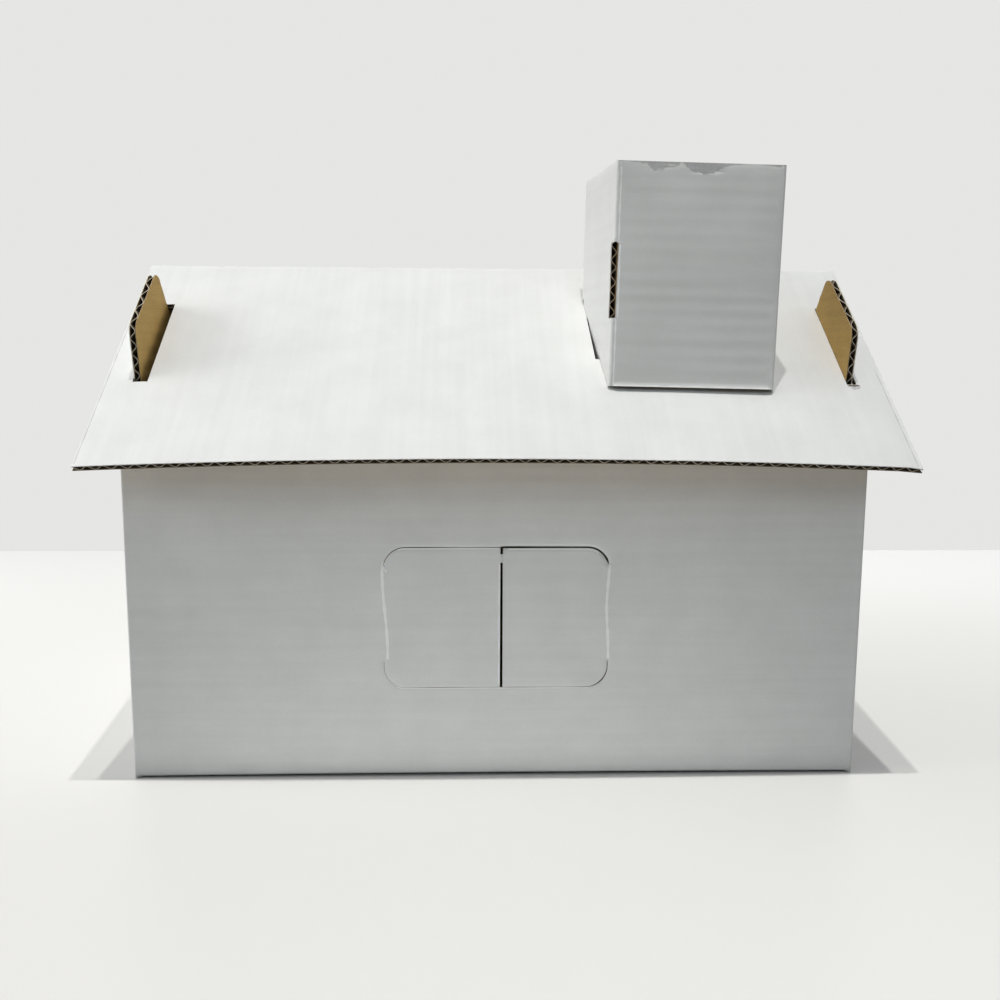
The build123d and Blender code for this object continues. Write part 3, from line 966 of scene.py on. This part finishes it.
def torn_slot():
    """Where the coating is torn, in front of the right front slot."""
    front = -SLOPE + TAB[0] - BOARD * TAB_DRAFT[0] - 1.1
    outer = [(145.6, 0), (145.7, -1.5), (146.9, -2.0), (147.6, -3.6)]
    outer += [(149.0, -3.1), (150.4, -2.9), (151.4, -1.2), (151.0, 0)]
    inner = [(145.9, 0), (146.3, -0.8), (148.4, -1.2), (150.6, -0.7), (151.0, 0)]
    return [(np.array(outer) + (0, front), TORN), (np.array(inner) + (0, front - 0.1), FLUTING)]


def edge_lines():
    """Thin grey lines just inside the side edges of the front slope."""
    loops = []
    for u, high in ((-ROOF_HALF + 0.75, -20), (ROOF_HALF - 1.7, 62 - SLOPE)):
        v = np.linspace(1.2 - SLOPE, high, 50)
        loops.append(upright(u, 0.17 + 0.06 * np.sin(v * 0.5), v))
    return loops


def roof():
    build = Build(place_roof)
    edge = np.array([(-ROOF_HALF, -SLOPE), (ROOF_HALF, -SLOPE), (ROOF_HALF, SLOPE), (-ROOF_HALF, SLOPE)])
    fold_v = SLOPE - roof_fold.lines(9)
    near_eave = np.array([0.5, 1.0, 1.7, 3.0])
    grid_v = np.unique(np.round(np.concatenate([fold_v, SLOPE - near_eave, near_eave - SLOPE]), 3))
    grid_u = np.arange(-ROOF_HALF + 3, ROOF_HALF - 2.5, 1.2)
    grid_u = np.concatenate([-ROOF_HALF + near_eave[:3], grid_u, ROOF_HALF - near_eave[:3]])
    grid_u = np.unique(np.round(grid_u, 3))
    faces = (roof_skin, lambda u, v: roof_skin(u, v) - LINER)
    patches = torn_slot() + [(loop, TORN) for loop in edge_lines()]
    build.liner(edge, roof_holes, grid_u, grid_v, 4.0, *faces, OUTER_HIGHLIGHT_RIM, None, patches)
    coarse_u = np.linspace(-ROOF_HALF, ROOF_HALF, 37)
    faces = (lambda u, v: LINER - BOARD + crush(v), lambda u, v: -BOARD + crush(v))
    build.liner(edge, roof_holes, coarse_u, grid_v, 1.0, *faces, ROOF_INNER)
    breaks = np.concatenate([hole[:, 0] for hole in roof_holes])
    pressed = 1 - EAVE_CRUSH / BOARD
    for low, high, press in ((-SLOPE, -RIDGE_LAND, (pressed, 1)), (RIDGE_LAND, SLOPE, (1, pressed))):
        build.waves([edge] + roof_holes, 0, -ROOF_HALF, ROOF_HALF, low, high, 0.7, breaks, press)
    build.piece("roof_board", "roof", DOWN_FINISHES)


# Chimney

CHIMNEY_BACK = -CHIMNEY_DEPTH * CHIMNEY_SKEW
chimney_fold = Fold(
    [
        (-CHIMNEY_HALF + CHIMNEY_BACK, CHIMNEY_DEPTH),
        (-CHIMNEY_HALF, 0),
        (CHIMNEY_HALF, 0),
        (CHIMNEY_HALF + CHIMNEY_BACK, CHIMNEY_DEPTH),
        (-CHIMNEY_HALF + CHIMNEY_BACK + BOARD + SEAT, CHIMNEY_DEPTH),
    ],
    CHIMNEY_RADIUS,
    CHIMNEY_SOFTEN,
)
_, CHIM_FRONT_U, CHIM_RIGHT_U, CHIM_BACK_U, CHIM_END_U = chimney_fold.start


def place_chimney(u, v, depth):
    """Points on the sleeve, at u round it from its rear left corner and v up it."""
    plan = chimney_fold.place(u, depth)
    return chimney_point(plan[:, 0], plan[:, 1], v)


front_outer = chimney_seat(0, 0, CHIMNEY_GAP_OUTER)
front_inner = chimney_seat(0, BOARD, CHIMNEY_GAP_INNER)


def chimney_outline(front, meet):
    """Flat outline of the sleeve, whose front panel ends at a height and meets the sides' slope."""
    drop = CHIMNEY_TAB_DROP / COS
    back = chimney_seat(CHIMNEY_BACK, CHIMNEY_DEPTH, SEAT)
    side_length = CHIM_FRONT_U

    def seat(side, y):
        return chimney_seat(side * CHIMNEY_HALF - y * CHIMNEY_SKEW, y, SEAT / COS)

    def left(y):
        return side_length * (1 - y / CHIMNEY_DEPTH)

    def right(y):
        return CHIM_RIGHT_U + side_length * y / CHIMNEY_DEPTH

    def lower_edge(side, along):
        """Lower edge of a side panel with its tab, from its back to its front."""
        steps = [(CHIMNEY_DEPTH - BOARD - 0.01, 0), (CHIMNEY_TAB[1] + 0.01, 0)]
        steps += [(CHIMNEY_TAB[1], drop), (CHIMNEY_TAB[0], drop)]
        steps += [(CHIMNEY_TAB[0] - 0.01, 0), (meet + 0.01, 0)]
        edge = [(along(y), seat(side, y) - below) for y, below in steps]
        return [(along(CHIMNEY_DEPTH - BOARD), back)] + edge + [(along(meet), front)]

    points = [(0, back)] + lower_edge(-1, left) + lower_edge(1, right)[::-1]
    return np.array(points + [(CHIM_END_U, back), (CHIM_END_U, CHIMNEY_HEIGHT), (0, CHIMNEY_HEIGHT)])


def ragged(points, size, step):
    """Open line with small random teeth."""
    found = []
    for a, b in zip(points[:-1], points[1:]):
        count = max(1, int(np.hypot(*(b - a)) / step))
        found.extend(a + (b - a) * i / count for i in range(count))
    found.append(points[-1])
    found = np.array(found)
    found[1:-1] += rng.uniform(-size, size, (len(found) - 2, 2))
    return found


def torn_patches():
    """Where the coating has come off, along the top of the front panel."""
    left = [(1.9, 0.05), (7, 0.45), (11.9, 0.9), (14.8, 3.8), (18.5, 3.2), (21.1, 1.5)]
    left += [(24.8, 1.6), (25.6, 0.05)]
    middle = [(26.1, 0.05), (29.5, 3.0), (31.8, 4.0), (33, 3.7), (34.7, 4.5), (39.2, 3.9), (41.4, 2.4)]
    middle += [(45.1, 0.9), (52.4, 0.05)]
    right = [(57, 0.05), (62, 0.4), (64.2, 0.9), (66.3, 1.0), (66.6, 0.05)]
    found = []
    for edge in (left, middle, right):
        torn = ragged(np.array(edge), 0.14, 0.8)
        torn[:, 1] = np.clip(torn[:, 1], 0.05, None)
        loop = line(CHIM_FRONT_U + torn[:, 0], CHIMNEY_HEIGHT - torn[:, 1])
        top = loop[[-1, 0]] * (1, 0) + (0, CHIMNEY_HEIGHT - 0.04)
        found.append(np.concatenate([loop, top]))
    return found


torn_loops = torn_patches()
chimney_drift = Drift(45, 40)
chimney_flutes = Drift(80, 30)
notch = np.array(
    [
        (CHIM_FRONT_U - NOTCH_LEFT, NOTCH_Z[0]),
        (CHIM_FRONT_U + NOTCH_RIGHT - 0.3, NOTCH_Z[0] + 0.2),
        (CHIM_FRONT_U + NOTCH_RIGHT, NOTCH_Z[1] - 0.6),
        (CHIM_FRONT_U + NOTCH_RIGHT - 1.2, NOTCH_Z[1]),
        (CHIM_FRONT_U - NOTCH_LEFT, NOTCH_Z[1]),
    ]
)


def chimney_skin(u, v):
    """Relief of the coated face: faint flutes, torn patches, the groove, and the bowed front panel."""
    relief = dips(CHIMNEY_DIPS, v + 0.5 * chimney_flutes(u, v)) * (0.8 + 1.4 * streak_drift(u, v))
    depth = relief - CHIMNEY_WAVINESS * (1 + chimney_drift(u, v)) - 0.2 * bump(CHIMNEY_HEIGHT - v, 0.8)
    for corner in (CHIM_FRONT_U, CHIM_RIGHT_U, CHIM_BACK_U):
        depth = depth * smooth((np.abs(u - corner) - CHIMNEY_RADIUS) / 3)
    here = line(u, v)
    for loop in torn_loops:
        depth = depth - TORN_DEPTH * inside(here, loop)
    groove = GROOVE_DEPTH * bump(u - CHIM_FRONT_U - GROOVE_X, GROOVE_HALF)
    on_front = smooth((u - CHIM_FRONT_U - 1.5) / 1.5) * smooth((CHIM_RIGHT_U - u) / 1.5)
    across = np.clip((u - CHIM_FRONT_U) / (CHIM_RIGHT_U - CHIM_FRONT_U), 0, 1) * 2 - 1
    upward = np.clip((v - front_outer) / (CHIMNEY_HEIGHT - front_outer), 0, 1) * 2 - 1
    bow = CHIMNEY_BULGE * (1 - across**4) * (1 - upward**2)
    flare = FLARE * bump(v - front_outer, FLARE_HEIGHT) * on_front
    return np.maximum(depth, -DEEPEST_SKIN) - groove + flare + bow


def chimney_lining(u, v):
    """Lower side of the outer liner: down on the waves, but thin where the front panel's edge flares."""
    skin = chimney_skin(u, v) - LINER
    return np.where(v < front_outer + 2, skin, np.minimum(skin, -LINER - 0.1))


def fold_highlights():
    """Painted highlights where edges catch the light: along the front left fold, beside the notch, and along
    the front's lower edge.
    """
    loops = []
    lines = [
        (1.85, front_outer + 0.9, NOTCH_Z[0] - 0.4),
        (2.5, NOTCH_Z[0] + 0.5, NOTCH_Z[1] - 1.2),
        (1.85, NOTCH_Z[1] + 0.4, CHIMNEY_HEIGHT - 2.5),
    ]
    for beside, low, high in lines:
        z = np.linspace(low, high, 30)
        loops.append(upright(CHIM_FRONT_U + beside, 0.26 + 0.08 * np.sin(z * 0.8), z))
    u = np.linspace(CHIM_FRONT_U + 1.6, CHIM_RIGHT_U - 0.8, 60)
    low = front_outer + 0.06
    rise = 0.5 + 0.12 * np.sin(u * 0.7)
    loops.append(between(line(u, low), line(u, low + rise)))
    return loops


def chimney():
    build = Build(place_chimney)
    outline = chimney_outline(front_outer, (CHIMNEY_GAP_OUTER - SEAT) / TAN)
    inner_outline = chimney_outline(front_inner, BOARD)
    groove = CHIM_FRONT_U + GROOVE_X + np.array([-0.75, -0.5, -0.25, 0, 0.25, 0.5, 0.75])
    grid_u = np.unique(np.round(np.concatenate([chimney_fold.lines(5), groove]), 2))
    near_edge = front_outer + np.array([0.3, 0.6, 1.0, 1.5])
    top_edge = CHIMNEY_HEIGHT - np.array([2, 1.4, 0.9, 0.5])
    below = np.arange(CHIMNEY_FOOT, front_outer, 0.9)
    above = np.arange(front_outer + 2.2, CHIMNEY_HEIGHT - 2.4, 0.9)
    grid_v = np.concatenate([below, near_edge, above, top_edge])
    patches = [(loop, TORN) for loop in torn_loops] + [(loop, WORN_AND_HIGHLIGHT) for loop in fold_highlights()]
    faces = (chimney_skin, chimney_lining)
    build.liner(outline, [notch], grid_u, grid_v, 0.3, *faces, OUTER_HIGHLIGHT_RIM, None, patches)
    coarse_v = np.arange(CHIMNEY_FOOT, CHIMNEY_HEIGHT, 6)
    faces = (inner_face, lambda u, v: np.full_like(u, -BOARD))
    build.liner(inner_outline, [notch], chimney_fold.lines(9), coarse_v, 1.0, *faces, INNER)
    clear = CHIMNEY_RADIUS + 0.6
    panels = [
        (0, CHIM_FRONT_U - clear),
        (CHIM_FRONT_U + clear, CHIM_RIGHT_U - clear),
        (CHIM_RIGHT_U + clear, CHIM_BACK_U - clear),
        (CHIM_BACK_U + clear, CHIM_END_U),
    ]
    for low, high in panels:
        build.waves([inner_outline, notch], 1, CHIMNEY_FOOT, CHIMNEY_HEIGHT, low, high, 1.3)
    build.piece("chimney_board", "chimney", LEVEL_FINISHES)


walls()
roof()
chimney()


# Stage: a pale table, with the wall of the room beyond its far edge. Lengths from here on are in metres.

FAR_EDGE = 0.398
FAR_DROP = 0.0002           # the room's plane lies this far under the table
FAR_TONE = (0.79, 0.79, 0.775, 1)
FAR_SHADE = (0.5, 0.5, 0.49, 1)
FLOOR_ROUGH = 0.4
# Painted light on the table as the camera sees it: lighter towards the back, and painted shade towards the
# left
FLOOR_LIGHT_TONES = ((0.77, 0.765, 0.75), (1.0, 1.0, 0.985))
FLOOR_SPAN = (-0.25, 0.4)   # in Y
SIDE_SHADE_TONES = ((0.81, 0.81, 0.81), UNIT)
SIDE_SPAN = (-0.35, 0.1)    # in X

# Painted light for the rays that light the house: the table's colour for them is a bright pool in front of
# it and some behind it, with painted shade in a strip at the front wall's foot
POOL_TONES = ((0.04, 0.04, 0.04), (0.92, 0.92, 0.91))
POOL_FRONT, POOL_WALL = (-0.80, -0.40), (-0.0945, -0.100)
POOL_LEFT, POOL_RIGHT = (-0.34, -0.02), (0.32, 0.02)
POOL_BACK = (-0.08, 0.02, 0.0, 0.55)


def stage_plane(name, low, high, z, material):
    mesh = bpy.data.meshes.new(name)
    corners = [(low[0], low[1], z), (high[0], low[1], z), (high[0], high[1], z), (low[0], high[1], z)]
    mesh.from_pydata(corners, [], [(0, 1, 2, 3)])
    mesh.materials.append(material)
    plane = bpy.data.objects.new(name, mesh)
    bpy.context.scene.collection.objects.link(plane)


def floor_finish():
    material = bpy.data.materials.new("floor_white")
    graph = Graph(material)
    shader = graph.nodes["Principled BSDF"]
    place = graph.axes("Object")
    x, y = place["X"], place["Y"]
    # Painted light and shade: lighter towards the back, darker towards the left
    tone = graph.ramp(graph.step(y, *FLOOR_SPAN), 0, 1, FLOOR_LIGHT_TONES)
    side_tone = graph.ramp(graph.step(x, *SIDE_SPAN), 0, 1, SIDE_SHADE_TONES)
    graph.set(shader.inputs["Base Color"], graph.multiplied(1.0, tone, side_tone))
    shader.inputs["Roughness"].default_value = FLOOR_ROUGH
    pool_y = graph.joined("MULTIPLY", graph.step(y, *POOL_FRONT), graph.step(y, *POOL_WALL))
    pool_x = graph.joined("MULTIPLY", graph.step(x, *POOL_RIGHT), graph.step(x, *POOL_LEFT))
    pool = graph.joined("MAXIMUM", graph.joined("MULTIPLY", pool_y, pool_x), graph.step(y, *POOL_BACK))
    bounce = graph.node("BsdfDiffuse", {"Color": graph.ramp(pool, 0, 1, POOL_TONES)})
    graph.split(bounce["BSDF"], shader.outputs["BSDF"], "Material Output")
    return material


def room_finish():
    material = bpy.data.materials.new("room_white")
    graph = Graph(material)
    graph.nodes.remove(graph.nodes["Principled BSDF"])
    shade = graph.node("BsdfDiffuse", {"Color": FAR_SHADE})
    glow = graph.node("Emission", {"Color": FAR_TONE})
    graph.split(shade["BSDF"], glow["Emission"], "Material Output")
    return material


stage_plane("floor", (-4, -4), (4, FAR_EDGE), 0, floor_finish())
stage_plane("room", (-9, FAR_EDGE), (9, 9), -FAR_DROP, room_finish())


# Light: a bright left side, a cool dim room in front, and two small ceiling lamps

AROUND_TONE = (1.0, 0.995, 0.985, 1)
AHEAD_TONE = (0.88, 1.0, 1.08, 1)
# Soft steps of the room's light by direction: where each starts and stops, and its strength there
LEFT_LIGHT = (-0.15, -0.9, 0.0, 0.36)
RIGHT_LIGHT = (0.2, 0.9, 0.0, 0.17)
BACK_LIGHT = (-0.3, 0.5, 0.05, 0.45)
AHEAD_LIGHT = (0.1, -0.5, 0.0, 0.80)
AHEAD_LOW, AHEAD_HIGH = (0.36, 0.50), (0.76, 0.60)
WARM = (1.0, 0.99, 0.965)
SOFT = (1.0, 0.995, 0.98)
CEILING_LAMPS = {"ceiling_left": (-0.097, -0.44, 2.43), "ceiling_right": (0.103, -0.44, 2.43)}


def room_light():
    world = bpy.data.worlds.new("room")
    graph = Graph(world)
    facing = graph.axes("Generated")
    sides = graph.joined("ADD", graph.step(facing["X"], *LEFT_LIGHT), graph.step(facing["X"], *RIGHT_LIGHT))
    around = graph.nodes["Background"]
    around.inputs["Color"].default_value = AROUND_TONE
    graph.set(around.inputs["Strength"], graph.joined("ADD", graph.step(facing["Y"], *BACK_LIGHT), sides))
    height = facing["Z"]
    band = graph.joined("MULTIPLY", graph.step(height, *AHEAD_LOW), graph.step(height, *AHEAD_HIGH))
    strength = graph.joined("MULTIPLY", graph.step(facing["Y"], *AHEAD_LIGHT), band)
    ahead = graph.node("Background", {"Color": AHEAD_TONE, "Strength": strength})
    both = graph.node("AddShader", {0: around.outputs["Background"], 1: ahead["Background"]})
    shown = graph.node("Background", {"Color": FAR_TONE})
    graph.split(both["Shader"], shown["Background"], "World Output")
    bpy.context.scene.world = world


def lamp(name, place, target, size, energy, colour):
    light = bpy.data.lights.new(name, "AREA")
    light.shape = "DISK"
    light.size = size
    light.energy = energy
    light.color = colour
    ob = bpy.data.objects.new(name, light)
    bpy.context.scene.collection.objects.link(ob)
    ob.location = place
    ob.rotation_mode = "QUATERNION"
    ob.rotation_quaternion = (Vector(target) - Vector(place)).to_track_quat("-Z", "Y")


room_light()
for name, place in CEILING_LAMPS.items():
    lamp(name, place, target=(0, 0, 0.1), size=0.04, energy=18, colour=WARM)
lamp("left_side", (-0.80, -0.12, 0.42), target=(0, -0.02, 0.12), size=0.5, energy=3.0, colour=SOFT)


# Camera

YAW, TILT, ROLL = (math.radians(a) for a in (1.93, 8.22, 0.31))
EYE = Vector((-0.0131, -0.4998, 0.1754))
SENSOR = 36
FOCAL = 1.024               # focal length in widths of the picture


def add_camera():
    data = bpy.data.cameras.new("camera")
    data.sensor_fit = "HORIZONTAL"
    data.sensor_width = SENSOR
    data.lens = SENSOR * FOCAL
    data.clip_start = 0.01
    camera = bpy.data.objects.new("camera", data)
    bpy.context.scene.collection.objects.link(camera)
    turns = ((-YAW, "Z"), (math.pi / 2 - TILT, "X"), (ROLL, "Z"))
    camera.matrix_world = Matrix.Translation(EYE)
    for angle, axis in turns:
        camera.matrix_world = camera.matrix_world @ Matrix.Rotation(angle, 4, axis)
    bpy.context.scene.camera = camera


add_camera()
bpy.context.scene.view_settings.view_transform = "Standard"
